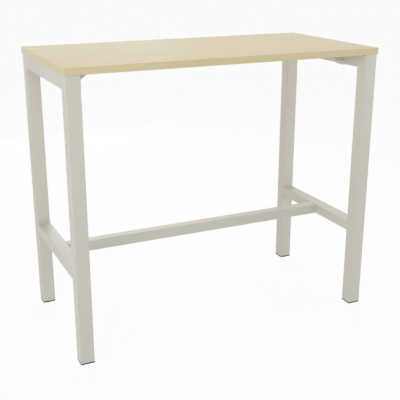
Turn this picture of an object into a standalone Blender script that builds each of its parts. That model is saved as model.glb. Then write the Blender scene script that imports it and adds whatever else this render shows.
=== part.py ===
"""Standing meeting table: a melamine-faced top on two welded end frames of square tube.

Each end frame is a mitred portal, two legs and a top rail, with a foot rail welded between the legs.
A footrest bar is bolted between the two foot rails. Folded brackets on the top rails take the
screws that hold the top. Every leg ends in a ribbed plastic insert with a levelling glide.

Metres, +Z up. The floor is z = 0, and the origin lies under the middle of the top.
"""

import math

import bmesh
import bpy
from mathutils import Matrix

MM = 0.001

# Overall sizes
TOP_LENGTH = 1200 * MM
TOP_DEPTH = 600 * MM
TABLE_HEIGHT = 1050 * MM

# Table top
TOP_THICKNESS = 25 * MM
BAND_THICKNESS = 2 * MM
BAND_ARRIS = 1.2 * MM

# End frames
TOP_OVERHANG = 3 * MM
LEG_WIDTH = 50 * MM
LEG_WALL = 1.5 * MM
TUBE_CORNER = 2.5 * MM
FOOT_RAIL_TOP = 355 * MM
FOOT_RAIL_HEIGHT = 40 * MM
FOOT_RAIL_WALL = 1.5 * MM

# Footrest bar and its fixings
FOOT_BAR_WIDTH = 40 * MM
FOOT_BAR_WALL = 1.5 * MM
END_PLATE = 6 * MM
BOLT_DIAMETER = 8 * MM
BOLT_LENGTH = 16 * MM
BOLT_HEAD_DIAMETER = 13 * MM
BOLT_HEAD_HEIGHT = 8 * MM
BOLT_BEVEL = 0.8 * MM
BOLT_KEY = 6 * MM
BOLT_KEY_DEPTH = 4 * MM
ACCESS_MARGIN = 1.5 * MM
PLUG_RIM = 1.2 * MM
PLUG_EDGE = 0.8 * MM
PLUG_DOME = 1.6 * MM
PLUG_WALL = 1.2 * MM
PLUG_LEAD = 0.6 * MM
PLUG_DEPTH = 7 * MM

# Brackets that hold the top
BRACKET_FROM_LEG = 78 * MM
BRACKET_REACH = 74 * MM
BRACKET_DROP = 52 * MM
BRACKET_WEB = 36 * MM
BRACKET_FOOT = 38 * MM
BRACKET_TIP = 6 * MM
BRACKET_FLANGE = 56 * MM
BRACKET_PLATE = 3 * MM
BRACKET_BEND = 1 * MM
BRACKET_CORNER = 4 * MM
SCREW_DIAMETER = 4.5 * MM
SCREW_HEAD_DIAMETER = 9 * MM
SCREW_HEAD_HEIGHT = 3 * MM
SCREW_HEAD_ROUND = 2 * MM
SCREW_RECESS = 5 * MM
SCREW_RECESS_SLOT = 1.3 * MM
SCREW_RECESS_DEPTH = 1.8 * MM
SCREW_POINT = 9 * MM
SCREW_FROM_END = 20 * MM
SCREW_COVER = 8 * MM

# Foot inserts and levelling glides
INSERT_LIFT = 4.5 * MM
INSERT_FLANGE = 4.5 * MM
INSERT_CHAMFER = 0.5 * MM
INSERT_DEPTH = 24 * MM
INSERT_WALL = 2 * MM
INSERT_RIB = 2 * MM
FIN_COUNT = 3
FIN_THICKNESS = 1.2 * MM
FIN_REACH = 1.2 * MM
STEM_DIAMETER = 8 * MM
STEM_BEVEL = 1 * MM
NUT_WIDTH = 13 * MM
NUT_HEIGHT = 6.5 * MM
PAD_DIAMETER = 36 * MM
PAD_RIM = 2.6 * MM
PAD_EDGE = 0.7 * MM
PAD_ROUND_DEGREES = 70
PAD_FLOOR = 1.2 * MM
PAD_COLLAR_WALL = 6 * MM
GLIDE_TRAVEL = 12 * MM

# Clearances
WELD_GAP = 0.3 * MM
SEAT_GAP = 0.3 * MM
SLIP_GAP = 0.3 * MM
HOLE_MARGIN = 0.5 * MM

# Facets
CORNER_STEPS = 4
ROUND_STEPS = 28
SMALL_ROUND_STEPS = 16
SHARP_DEGREES = 35
MERGE_DISTANCE = 0.001 * MM

# Places worked out from the sizes
BOARD_UNDERSIDE = TABLE_HEIGHT - TOP_THICKNESS
FRAME_TOP = BOARD_UNDERSIDE - SEAT_GAP
LEG_X = TOP_LENGTH / 2 - TOP_OVERHANG - LEG_WIDTH / 2
LEG_Y = TOP_DEPTH / 2 - TOP_OVERHANG - LEG_WIDTH / 2
LEG_INNER_X = LEG_X - LEG_WIDTH / 2
LEG_INNER_Y = LEG_Y - LEG_WIDTH / 2
LEG_BORE = LEG_WIDTH - 2 * LEG_WALL
LEG_FOOT = INSERT_LIFT + INSERT_FLANGE + SEAT_GAP
FOOT_RAIL_Z = FOOT_RAIL_TOP - FOOT_RAIL_HEIGHT / 2
BAR_HALF = LEG_INNER_X - WELD_GAP
BRACKET_Y = LEG_INNER_Y - BRACKET_FROM_LEG
MITRE_CUT = WELD_GAP / math.sqrt(2)
BOLT_HOLE = BOLT_DIAMETER / 2 + SLIP_GAP
ACCESS_HOLE = BOLT_HEAD_DIAMETER / 2 + ACCESS_MARGIN
SCREW_BITE = TOP_THICKNESS - SCREW_COVER
STEM_HOLE = STEM_DIAMETER / 2 + SLIP_GAP
SCREW_PLACES = (SCREW_FROM_END, BRACKET_REACH - SCREW_FROM_END)

SIDES = (("left", -1), ("right", 1))
ENDS = (("front", -1), ("rear", 1))
ALONG_X = Matrix.Rotation(math.pi / 2, 4, "Y")
AGAINST_X = Matrix.Rotation(-math.pi / 2, 4, "Y")
ALONG_Y = Matrix.Rotation(-math.pi / 2, 4, "X")
UPRIGHT = Matrix.Rotation(math.pi / 2, 4, "X")


def make_material(name, colour, roughness, metallic=0.0):
    """Principled surface of one colour."""
    material = bpy.data.materials.new(name)
    material.use_nodes = True
    shader = material.node_tree.nodes["Principled BSDF"]
    shader.inputs["Base Color"].default_value = (*colour, 1.0)
    shader.inputs["Roughness"].default_value = roughness
    shader.inputs["Metallic"].default_value = metallic
    return material


def place(name, mesh, material, location, turn=0.0, parent=None):
    """Put a mesh into the scene as a named piece, turned about the vertical."""
    piece = bpy.data.objects.new(name, mesh)
    bpy.context.collection.objects.link(piece)
    if not mesh.materials:
        mesh.materials.append(material)
    piece.location = location
    piece.rotation_euler = (0.0, 0.0, turn)
    piece.parent = parent
    return piece


def place_empty(name, location, parent=None):
    """Carrier for pieces that belong or move together."""
    empty = bpy.data.objects.new(name, None)
    bpy.context.collection.objects.link(empty)
    empty.location = location
    empty.parent = parent
    return empty


def finish(bm, name, matrix=None):
    """Turn a bmesh into a mesh with its faces pointing out and its sharp edges kept."""
    if matrix is not None:
        bm.transform(matrix)
    bmesh.ops.recalc_face_normals(bm, faces=bm.faces)
    mesh = bpy.data.meshes.new(name)
    bm.to_mesh(mesh)
    bm.free()
    mesh.shade_smooth()
    mesh.set_sharp_from_angle(angle=math.radians(SHARP_DEGREES))
    return mesh


def carve(solid, *cutters):
    """Cut the cutters out of a solid, one after the other."""
    blank = bpy.data.objects.new("blank", solid)
    bpy.context.collection.objects.link(blank)
    tools = []
    for cutter in cutters:
        tool = bpy.data.objects.new("tool", cutter)
        bpy.context.collection.objects.link(tool)
        cut = blank.modifiers.new("cut", "BOOLEAN")
        cut.operation = "DIFFERENCE"
        cut.solver = "EXACT"
        cut.object = tool
        tools.append(tool)
    graph = bpy.context.evaluated_depsgraph_get()
    carved = bpy.data.meshes.new_from_object(blank.evaluated_get(graph))
    for leftover in (blank, *tools):
        bpy.data.objects.remove(leftover)
    return carved


def arc(centre, radius, start, end, steps):
    """Points of an arc, angles in degrees, both ends included."""
    points = []
    for step in range(steps + 1):
        angle = math.radians(start + (end - start) * step / steps)
        points.append((centre[0] + radius * math.cos(angle), centre[1] + radius * math.sin(angle)))
    return points


def circle(radius, steps):
    """Regular polygon of the given corner radius, about the origin."""
    return arc((0.0, 0.0), radius, 0, 360, steps)[:-1]


def hexagon(width):
    """Hexagon about the origin, from its width across flats."""
    return circle(width / math.sqrt(3), 6)


def quarter_turns(points):
    """The four copies of some points, a quarter turn apart about the origin."""
    copies = []
    for _ in range(4):
        copies.append(points)
        points = [(-y, x) for x, y in points]
    return copies


def rounded_rectangle(width, height, corner):
    """Rectangle about the origin with rounded corners."""
    points = []
    for quarter, (across, up) in enumerate(((1, 1), (-1, 1), (-1, -1), (1, -1))):
        centre = (across * (width / 2 - corner), up * (height / 2 - corner))
        points += arc(centre, corner, 90 * quarter, 90 * quarter + 90, CORNER_STEPS)
    return points


def skin(bm, rings):
    """Faces between each ring of vertices and the next."""
    for lower, upper in zip(rings, rings[1:]):
        for here in range(len(lower)):
            there = (here + 1) % len(lower)
            bm.faces.new((lower[here], lower[there], upper[there], upper[here]))


def tube(width, height, wall, start, end):
    """Rectangular tube along Z; start and end give the cut's height across the section."""
    outer = rounded_rectangle(width, height, TUBE_CORNER)
    inner = rounded_rectangle(width - 2 * wall, height - 2 * wall, inner_corner(wall))
    bm = bmesh.new()
    rings = []
    for outline, cut in ((outer, start), (outer, end), (inner, end), (inner, start)):
        rings.append([bm.verts.new((x, y, cut(x, y))) for x, y in outline])
    skin(bm, rings + rings[:1])
    return bm


def inner_corner(wall):
    """Inside corner radius of a tube, at least a fifth of its wall."""
    return max(TUBE_CORNER - wall, wall / 5)


def prism(outline, bottom, top, bm=None):
    """Straight extrusion of an outline along Z, added to bm when one is given."""
    bm = bm or bmesh.new()
    rings = [[bm.verts.new((x, y, z)) for x, y in outline] for z in (bottom, top)]
    skin(bm, rings)
    bm.faces.new(rings[0])
    bm.faces.new(rings[1])
    return bm


def pierced_plate(outline, hole, bottom, top):
    """Extrusion along Z of an outline with one hole."""
    bm = bmesh.new()
    edges = []
    for loop in (outline, hole):
        corners = [bm.verts.new((x, y, bottom)) for x, y in loop]
        edges += [bm.edges.new(pair) for pair in zip(corners, corners[1:] + corners[:1])]
    bmesh.ops.triangle_fill(bm, edges=edges, use_beauty=True)
    grown = bmesh.ops.extrude_face_region(bm, geom=bm.faces[:])
    lifted = [item for item in grown["geom"] if isinstance(item, bmesh.types.BMVert)]
    bmesh.ops.translate(bm, verts=lifted, vec=(0.0, 0.0, top - bottom))
    return bm


def turned(profile, steps):
    """Solid of revolution about Z from (radius, height) points that start and end on the axis."""
    bm = bmesh.new()
    points = [bm.verts.new((radius, 0.0, height)) for radius, height in profile]
    edges = [bm.edges.new(pair) for pair in zip(points, points[1:])]
    bmesh.ops.spin(
        bm,
        geom=points + edges,
        axis=(0.0, 0.0, 1.0),
        cent=(0.0, 0.0, 0.0),
        angle=math.tau,
        steps=steps,
        use_merge=True,
    )
    bmesh.ops.remove_doubles(bm, verts=bm.verts, dist=MERGE_DISTANCE)
    return bm


def stepped_block(levels):
    """Block stacked from rounded squares, each level a (width, corner, height)."""
    bm = bmesh.new()
    rings = []
    for width, corner, height in levels:
        outline = rounded_rectangle(width, width, corner)
        rings.append([bm.verts.new((x, y, height)) for x, y in outline])
    skin(bm, rings)
    bm.faces.new(rings[0])
    bm.faces.new(rings[-1])
    return bm


def box(low, high):
    """Plain block between two opposite corners."""
    outline = ((low[0], low[1]), (high[0], low[1]), (high[0], high[1]), (low[0], high[1]))
    return prism(outline, low[2], high[2])


def bracket_screw_places():
    """Centres of all the holes for the screws in the underside of the top."""
    places = []
    for _, side in SIDES:
        for _, end in ENDS:
            for reach in SCREW_PLACES:
                across = side * (LEG_INNER_X - reach)
                places.append((across, end * (BRACKET_Y - BRACKET_FLANGE / 2)))
    return places


def board_mesh():
    """Chipboard core with its faces, drilled from below for the bracket screws."""
    half_x = TOP_LENGTH / 2 - BAND_THICKNESS - SEAT_GAP
    half_y = TOP_DEPTH / 2 - BAND_THICKNESS - SEAT_GAP
    slab = finish(box((-half_x, -half_y, 0.0), (half_x, half_y, TOP_THICKNESS)), "board")
    drills = bmesh.new()
    pilot = circle(SCREW_DIAMETER / 2 + SLIP_GAP, SMALL_ROUND_STEPS)
    for x, y in bracket_screw_places():
        outline = [(x + dx, y + dy) for dx, dy in pilot]
        prism(outline, -SCREW_COVER, SCREW_BITE + SEAT_GAP, drills)
    return carve(slab, finish(drills, "pilot_drills"))


def band_mesh(length, round_ends):
    """Edge band along X with its outer face towards -Y; the outer edges are rounded over."""
    bm = box((-length / 2, -BAND_THICKNESS, 0.0), (length / 2, 0.0, TOP_THICKNESS))
    rounded = []
    for edge in bm.edges:
        outer = all(vert.co.y < -BAND_THICKNESS / 2 for vert in edge.verts)
        upright = abs(edge.verts[0].co.x - edge.verts[1].co.x) < BAND_THICKNESS
        if outer and (round_ends or not upright):
            rounded.append(edge)
    bmesh.ops.bevel(
        bm, geom=rounded, offset=BAND_ARRIS, segments=CORNER_STEPS, profile=0.5, affect="EDGES"
    )
    return finish(bm, "band")


def build_top(root, faces, edging):
    """Board and its four bands; the long bands cover the ends of the short ones."""
    place("tabletop_board", board_mesh(), faces, (0.0, 0.0, BOARD_UNDERSIDE), parent=root)
    long_band = band_mesh(TOP_LENGTH, True)
    short_band = band_mesh(TOP_DEPTH - 2 * (BAND_THICKNESS + SEAT_GAP), False)
    for end, sign in ENDS:
        place_y = sign * (TOP_DEPTH / 2 - BAND_THICKNESS)
        turn = 0.0 if sign < 0 else math.pi
        place(end + "_edge_band", long_band, edging, (0.0, place_y, BOARD_UNDERSIDE), turn, root)
    for side, sign in SIDES:
        place_x = sign * (TOP_LENGTH / 2 - BAND_THICKNESS)
        turn = sign * math.pi / 2
        place(side + "_edge_band", short_band, edging, (place_x, 0.0, BOARD_UNDERSIDE), turn, root)


def leg_mesh():
    """Leg tube, square at the foot and mitred to the top rail; its outer face is towards -Y."""
    mitre_top = FRAME_TOP - LEG_WIDTH / 2 - MITRE_CUT
    bm = tube(LEG_WIDTH, LEG_WIDTH, LEG_WALL, lambda x, y: LEG_FOOT, lambda x, y: mitre_top - y)
    return finish(bm, "leg")


def top_rail_mesh():
    """Top rail tube along Y, mitred at both ends, longest along its upper face."""
    mitre_end = LEG_Y - MITRE_CUT
    bm = tube(LEG_WIDTH, LEG_WIDTH, LEG_WALL, lambda x, y: y - mitre_end, lambda x, y: mitre_end - y)
    return finish(bm, "top_rail", ALONG_Y)


def foot_rail_mesh():
    """Right foot rail along Y, with the bolt's hole inside and the key's access hole outside."""
    half = LEG_INNER_Y - WELD_GAP
    bm = tube(LEG_WIDTH, FOOT_RAIL_HEIGHT, FOOT_RAIL_WALL, lambda x, y: -half, lambda x, y: half)
    drills = prism(circle(BOLT_HOLE, SMALL_ROUND_STEPS), -LEG_WIDTH, 0.0)
    prism(circle(ACCESS_HOLE, ROUND_STEPS), LEG_WIDTH / 4, LEG_WIDTH, drills)
    return carve(finish(bm, "foot_rail", ALONG_Y), finish(drills, "rail_drills", ALONG_X))


def build_end_frames(root, paint):
    """Two portals, each of two legs, a top rail and a foot rail."""
    leg = leg_mesh()
    top_rail = top_rail_mesh()
    foot_rail = foot_rail_mesh()
    for side, across in SIDES:
        x = across * LEG_X
        turn = 0.0 if across > 0 else math.pi
        place(side + "_top_rail", top_rail, paint, (x, 0.0, FRAME_TOP - LEG_WIDTH / 2), 0.0, root)
        place(side + "_foot_rail", foot_rail, paint, (x, 0.0, FOOT_RAIL_Z), turn, root)
        for end, along in ENDS:
            turn_leg = 0.0 if along < 0 else math.pi
            place(f"{end}_{side}_leg", leg, paint, (x, along * LEG_Y, 0.0), turn_leg, root)


def bar_mesh():
    """Footrest bar tube along X, the same height as the foot rails."""
    bm = tube(
        FOOT_RAIL_HEIGHT, FOOT_BAR_WIDTH, FOOT_BAR_WALL, lambda x, y: -BAR_HALF, lambda x, y: BAR_HALF
    )
    return finish(bm, "footrest_bar", ALONG_X)


def end_plate_mesh():
    """Tapped plate welded inside the bar's right end, flush with it."""
    inset = 2 * (FOOT_BAR_WALL + WELD_GAP)
    corner = inner_corner(FOOT_BAR_WALL) + WELD_GAP
    outline = rounded_rectangle(FOOT_RAIL_HEIGHT - inset, FOOT_BAR_WIDTH - inset, corner)
    bm = pierced_plate(outline, circle(BOLT_HOLE, SMALL_ROUND_STEPS), -END_PLATE, 0.0)
    return finish(bm, "end_plate", ALONG_X)


def bolt_mesh():
    """Socket head bolt, its bearing face at the origin and its shank towards -X."""
    shank = BOLT_DIAMETER / 2
    head = BOLT_HEAD_DIAMETER / 2
    profile = (
        (0.0, -BOLT_HEAD_HEIGHT),
        (head - BOLT_BEVEL, -BOLT_HEAD_HEIGHT),
        (head, BOLT_BEVEL - BOLT_HEAD_HEIGHT),
        (head, 0.0),
        (shank, 0.0),
        (shank, BOLT_LENGTH - BOLT_BEVEL),
        (shank - BOLT_BEVEL, BOLT_LENGTH),
        (0.0, BOLT_LENGTH),
    )
    blank = finish(turned(profile, SMALL_ROUND_STEPS), "bolt", AGAINST_X)
    key = prism(hexagon(BOLT_KEY), -2 * BOLT_HEAD_HEIGHT, BOLT_KEY_DEPTH - BOLT_HEAD_HEIGHT)
    return carve(blank, finish(key, "key_socket", AGAINST_X))


def plug_mesh():
    """Press-in plug for the access hole: a low dome towards +X and a hollow shank."""
    shank = ACCESS_HOLE - SLIP_GAP
    bore = shank - PLUG_WALL
    rim = ACCESS_HOLE + PLUG_RIM
    profile = (
        (0.0, SEAT_GAP),
        (bore, SEAT_GAP),
        (bore, -PLUG_DEPTH),
        (shank - PLUG_LEAD, -PLUG_DEPTH),
        (shank, PLUG_LEAD - PLUG_DEPTH),
        (shank, SEAT_GAP),
        (rim, SEAT_GAP),
        (rim, PLUG_EDGE),
        (rim - PLUG_RIM, PLUG_DOME),
        (0.0, PLUG_DOME + SEAT_GAP),
    )
    return finish(turned(profile, ROUND_STEPS), "plug", ALONG_X)


def build_footrest(root, paint, steel):
    """Bar between the foot rails, with its end plates, hidden bolts and cover plugs."""
    place("footrest_bar", bar_mesh(), paint, (0.0, 0.0, FOOT_RAIL_Z), 0.0, root)
    fixings = (
        ("bar_end_plate", end_plate_mesh(), steel, BAR_HALF),
        ("bar_bolt", bolt_mesh(), steel, LEG_INNER_X + FOOT_RAIL_WALL + SEAT_GAP),
        ("rail_plug", plug_mesh(), paint, LEG_X + LEG_WIDTH / 2),
    )
    for side, across in SIDES:
        turn = 0.0 if across > 0 else math.pi
        for name, mesh, material, x in fixings:
            place(f"{side}_{name}", mesh, material, (across * x, 0.0, FOOT_RAIL_Z), turn, root)


def bracket_mesh(hand):
    """Folded bracket reaching along +X: a leaf on the rail, an upright web and a flange under the top.

    The web's outer face lies at y = 0; the leaf and the flange run towards y times hand.
    """
    plate = BRACKET_PLATE
    outer_bend = plate + BRACKET_BEND
    section = [(0.0, -BRACKET_DROP), (BRACKET_FLANGE, -BRACKET_DROP), (BRACKET_FLANGE, 0.0)]
    section += arc((outer_bend, -outer_bend), outer_bend, 90, 180, CORNER_STEPS)
    bm = bmesh.new()
    rings = []
    for x in (WELD_GAP, BRACKET_REACH):
        rings.append([bm.verts.new((x, hand * y, z)) for y, z in section])
    skin(bm, rings)
    bm.faces.new(rings[0])
    bm.faces.new(rings[1])
    low_tip = rings[1][1]
    corners = [bm.edges.get((low_tip, other)) for other in (rings[0][1], rings[1][2])]
    bmesh.ops.bevel(
        bm, geom=corners, offset=BRACKET_CORNER, segments=CORNER_STEPS, profile=0.5, affect="EDGES"
    )
    block = finish(bm, "bracket")

    past = BRACKET_FOOT
    inside = arc((outer_bend, outer_bend), BRACKET_BEND, 180, 270, CORNER_STEPS)
    inside += [
        (BRACKET_DROP + past, plate),
        (BRACKET_DROP + past, BRACKET_FLANGE + past),
        (plate, BRACKET_FLANGE + past),
    ]
    hollow = prism([(down, hand * y) for down, y in inside], WELD_GAP + plate, BRACKET_REACH + past)
    slope = (BRACKET_WEB - BRACKET_TIP) / (BRACKET_REACH - BRACKET_FOOT)
    wedge = prism(
        (
            (WELD_GAP + plate, -BRACKET_DROP - past),
            (BRACKET_REACH + past, -BRACKET_DROP - past),
            (BRACKET_REACH + past, past * slope - BRACKET_TIP),
            (BRACKET_FOOT, -BRACKET_WEB),
            (WELD_GAP + plate, -BRACKET_WEB),
        ),
        -2 * BRACKET_FLANGE,
        2 * BRACKET_FLANGE,
    )
    drills = bmesh.new()
    hole = circle(SCREW_DIAMETER / 2 + HOLE_MARGIN, SMALL_ROUND_STEPS)
    for reach in SCREW_PLACES:
        outline = [(reach + dx, hand * BRACKET_FLANGE / 2 + dy) for dx, dy in hole]
        prism(outline, -2 * plate, plate, drills)
    return carve(
        block,
        finish(hollow, "bracket_hollow", ALONG_X),
        finish(wedge, "wedge", UPRIGHT),
        finish(drills, "bracket_drills"),
    )


def screw_mesh():
    """Pan head wood screw pointing up, with a cross recess; its bearing face is at the origin."""
    shank = SCREW_DIAMETER / 2
    head = SCREW_HEAD_DIAMETER / 2
    length = BRACKET_PLATE + 2 * SEAT_GAP + SCREW_BITE
    shoulder = (head - SCREW_HEAD_ROUND, SCREW_HEAD_ROUND - SCREW_HEAD_HEIGHT)
    profile = [(0.0, -SCREW_HEAD_HEIGHT)]
    profile += arc(shoulder, SCREW_HEAD_ROUND, -90, 0, CORNER_STEPS)
    profile += [(head, 0.0), (shank, 0.0), (shank, length - SCREW_POINT), (0.0, length)]
    blank = finish(turned(profile, SMALL_ROUND_STEPS), "screw")
    reach, slot = SCREW_RECESS / 2, SCREW_RECESS_SLOT / 2
    cross = sum(quarter_turns([(reach, -slot), (reach, slot), (slot, slot)]), [])
    driver = prism(cross, -2 * SCREW_HEAD_HEIGHT, SCREW_RECESS_DEPTH - SCREW_HEAD_HEIGHT)
    return carve(blank, finish(driver, "cross_recess"))


def build_brackets(root, paint, steel):
    """Handed brackets on the top rails and the screws through them into the top."""
    brackets = {hand: bracket_mesh(hand) for hand in (-1, 1)}
    screw = screw_mesh()
    screw_z = FRAME_TOP - BRACKET_PLATE - SEAT_GAP
    for side, across in SIDES:
        turn = 0.0 if across < 0 else math.pi
        for end, along in ENDS:
            corner = f"{end}_{side}"
            seat = (across * LEG_INNER_X, along * BRACKET_Y, FRAME_TOP)
            place(corner + "_top_bracket", brackets[across * along], paint, seat, turn, root)
            screw_y = along * (BRACKET_Y - BRACKET_FLANGE / 2)
            for number, reach in enumerate(SCREW_PLACES, 1):
                spot = (across * (LEG_INNER_X - reach), screw_y, screw_z)
                place(f"{corner}_bracket_screw_{number}", screw, steel, spot, 0.0, root)


def insert_mesh():
    """Ribbed foot insert: a flange under the leg, a finned sleeve in it and a boss for the nut."""
    sleeve = LEG_BORE - 2 * (SLIP_GAP + FIN_REACH)
    fin = LEG_BORE - 2 * SLIP_GAP
    corner = inner_corner(LEG_WALL) + SLIP_GAP
    top = INSERT_FLANGE + INSERT_DEPTH
    levels = [
        (LEG_WIDTH - 2 * INSERT_CHAMFER, TUBE_CORNER, 0.0),
        (LEG_WIDTH, TUBE_CORNER, INSERT_CHAMFER),
        (LEG_WIDTH, TUBE_CORNER, INSERT_FLANGE),
        (sleeve, corner, INSERT_FLANGE),
    ]
    pitch = INSERT_DEPTH / (FIN_COUNT + 1)
    for number in range(1, FIN_COUNT + 1):
        low = INSERT_FLANGE + number * pitch
        high = low + FIN_THICKNESS
        levels += [(sleeve, corner, low), (fin, corner, low), (fin, corner, high), (sleeve, corner, high)]
    levels += [(sleeve, corner, top - FIN_REACH), (sleeve - 2 * FIN_REACH, corner, top)]
    block = finish(stepped_block(levels), "insert")

    boss = (NUT_WIDTH + 2 * SLIP_GAP) / math.sqrt(3) + INSERT_WALL
    rib = INSERT_RIB / 2
    wall = sleeve / 2 - INSERT_WALL - FIN_REACH
    meet = math.degrees(math.asin(rib / boss))
    pocket = arc((0.0, 0.0), boss, 90 - meet, meet, 2 * CORNER_STEPS)
    pocket += [(wall, rib), (wall, wall), (rib, wall)]
    hollows = prism(circle(STEM_HOLE, SMALL_ROUND_STEPS), -INSERT_FLANGE, top + INSERT_FLANGE)
    for outline in quarter_turns(pocket):
        prism(outline, INSERT_FLANGE, top + INSERT_FLANGE, hollows)
    nut_pocket = prism(hexagon(NUT_WIDTH + 2 * SLIP_GAP), -INSERT_FLANGE, NUT_HEIGHT + 2 * SEAT_GAP)
    return carve(block, finish(hollows, "insert_hollows"), finish(nut_pocket, "nut_pocket"))


def nut_mesh():
    """Hexagon nut pressed into the insert from below."""
    bm = pierced_plate(hexagon(NUT_WIDTH), circle(STEM_HOLE, SMALL_ROUND_STEPS), 0.0, NUT_HEIGHT)
    return finish(bm, "nut")


def stem_mesh():
    """Threaded stem, from the pad's socket to past the nut at full travel."""
    low = PAD_FLOOR + SEAT_GAP
    high = INSERT_LIFT + SEAT_GAP + NUT_HEIGHT + GLIDE_TRAVEL
    radius = STEM_DIAMETER / 2
    profile = (
        (0.0, low),
        (radius, low),
        (radius, high - STEM_BEVEL),
        (radius - STEM_BEVEL, high),
        (0.0, high),
    )
    return finish(turned(profile, SMALL_ROUND_STEPS), "stem")


def pad_mesh():
    """Round glide pad with a sloping top and a collar that stops against the insert."""
    rim = PAD_DIAMETER / 2
    top = INSERT_LIFT - SEAT_GAP
    collar = STEM_HOLE + PAD_COLLAR_WALL
    profile = [(0.0, 0.0), (rim - PAD_EDGE, 0.0), (rim, PAD_EDGE)]
    shoulder = (rim - PAD_EDGE, PAD_RIM - PAD_EDGE)
    profile += arc(shoulder, PAD_EDGE, 0, PAD_ROUND_DEGREES, CORNER_STEPS)
    profile += [(collar, top - PAD_EDGE), (collar, top), (STEM_HOLE, top)]
    profile += [(STEM_HOLE, PAD_FLOOR), (0.0, PAD_FLOOR)]
    return finish(turned(profile, ROUND_STEPS), "pad")


def build_feet(root, plastic, steel):
    """Insert and nut fixed in each leg; stem and pad carried by an empty on the glide's axis."""
    insert = insert_mesh()
    nut = nut_mesh()
    stem = stem_mesh()
    pad = pad_mesh()
    for side, across in SIDES:
        for end, along in ENDS:
            corner = f"{end}_{side}"
            x, y = across * LEG_X, along * LEG_Y
            place(corner + "_foot_insert", insert, plastic, (x, y, INSERT_LIFT), 0.0, root)
            place(corner + "_glide_nut", nut, steel, (x, y, INSERT_LIFT + SEAT_GAP), 0.0, root)
            glide = place_empty(corner + "_glide", (x, y, 0.0), root)
            place(corner + "_glide_stem", stem, steel, (0.0, 0.0, 0.0), 0.0, glide)
            place(corner + "_glide_pad", pad, plastic, (0.0, 0.0, 0.0), 0.0, glide)


def main():
    for leftover in list(bpy.data.objects):
        bpy.data.objects.remove(leftover)
    faces = make_material("maple_melamine", (0.70, 0.62, 0.47), 0.45)
    edging = make_material("maple_edging", (0.61, 0.53, 0.34), 0.45)
    paint = make_material("warm_grey_powder_coat", (0.57, 0.56, 0.50), 0.5)
    plastic = make_material("black_plastic", (0.012, 0.012, 0.013), 0.5)
    steel = make_material("zinc_plated_steel", (0.62, 0.62, 0.64), 0.35, 1.0)
    root = place_empty("standing_table", (0.0, 0.0, 0.0))
    build_top(root, faces, edging)
    build_end_frames(root, paint)
    build_footrest(root, paint, steel)
    build_brackets(root, paint, steel)
    build_feet(root, plastic, steel)


main()
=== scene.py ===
import math

import bpy
import numpy as np
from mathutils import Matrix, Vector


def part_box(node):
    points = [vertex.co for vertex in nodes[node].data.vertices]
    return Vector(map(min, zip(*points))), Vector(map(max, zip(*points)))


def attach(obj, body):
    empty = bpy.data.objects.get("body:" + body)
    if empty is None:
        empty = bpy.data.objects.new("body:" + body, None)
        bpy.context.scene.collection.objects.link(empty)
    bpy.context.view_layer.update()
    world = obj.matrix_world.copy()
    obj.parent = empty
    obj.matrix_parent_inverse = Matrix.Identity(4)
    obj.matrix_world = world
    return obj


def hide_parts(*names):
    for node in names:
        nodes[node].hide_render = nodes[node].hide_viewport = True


# Standing meeting table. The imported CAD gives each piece's place and outer size. The tubes, edge strips,
# brackets, screws, glides and plugs are worked out again here as finer surfaces, with the frames' welds.

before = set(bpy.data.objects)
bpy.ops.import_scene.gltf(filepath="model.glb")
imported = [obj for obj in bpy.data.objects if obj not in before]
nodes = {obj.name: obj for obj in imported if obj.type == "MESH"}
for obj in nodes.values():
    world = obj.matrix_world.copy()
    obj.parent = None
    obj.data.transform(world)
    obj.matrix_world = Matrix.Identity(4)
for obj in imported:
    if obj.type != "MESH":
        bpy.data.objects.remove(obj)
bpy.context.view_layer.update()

MM = 0.001
QUARTER_TURN = math.pi / 2
FULL_TURN = 2 * math.pi
SIDES = (("left", -1), ("right", 1))
ENDS = (("front", -1), ("rear", 1))
CORNERS = [(f"{end}_{side}", along) for side, _ in SIDES for end, along in ENDS]

# Which local axis (across, up, along) becomes world X, Y and Z for a piece that runs along the named axis
ALONG = {"X": (2, 0, 1), "Y": (1, 2, 0), "Z": (0, 1, 2)}

# Camera, from the edges of the table in the picture
CAMERA_PLACE = (-1.19871, -2.56246, 1.39266)
CAMERA_YAW = -0.43911
CAMERA_PITCH = -0.32309
CAMERA_LENS = 67.011
SENSOR_WIDTH = 36.0

# Fineness of the surfaces, and the angles in degrees from which an edge stays sharp
ARC_STEPS = 8
SMALL_ARC_STEPS = 6
CIRCLE_STEPS = 64
FLAT_LEAD = 0.6 * MM
PLAIN_SHARP = 30.0
TURNED_SHARP = 40.0
WELD_SHARP = 50.0
THREAD_SHARP = 60.0

# Tubes
TUBE_WALL = 1.5 * MM
TUBE_CORNER = 2.5 * MM

# Edge strips
BAND_ARRIS = 1.2 * MM
BAND_JOINT = 0.05 * MM
BAND_END_DEGREES = 6.0

# Brackets
PLATE = 3 * MM
PLATE_BEND = 1 * MM
PLATE_BREAK = 0.3 * MM
BRACKET_WEB = 36 * MM
BRACKET_FOOT = 38 * MM
BRACKET_TIP = 6 * MM
BRACKET_TIP_DEGREES = 88.0
BRACKET_CORNER = 4 * MM
BRACKET_SEAM = 0.02 * MM

# Bracket screws
SCREW_HEAD_HEIGHT = 3 * MM
SCREW_RIM = 2 * MM
SCREW_RIM_STEPS = 6
SCREW_FLAT_RINGS = 26
SCREW_SHANK = 2.25 * MM
SCREW_POINT = 9 * MM
SCREW_TIP = 0.1 * MM
RECESS_MIDDLE = 0.03 * MM
RECESS_ARM = 2.3 * MM
RECESS_SLOT = 0.7 * MM
RECESS_WALL = 0.25 * MM
RECESS_DEPTH = 1.7 * MM
RECESS_FALL = 4 * MM
RECESS_LEVEL = 0.2

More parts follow.
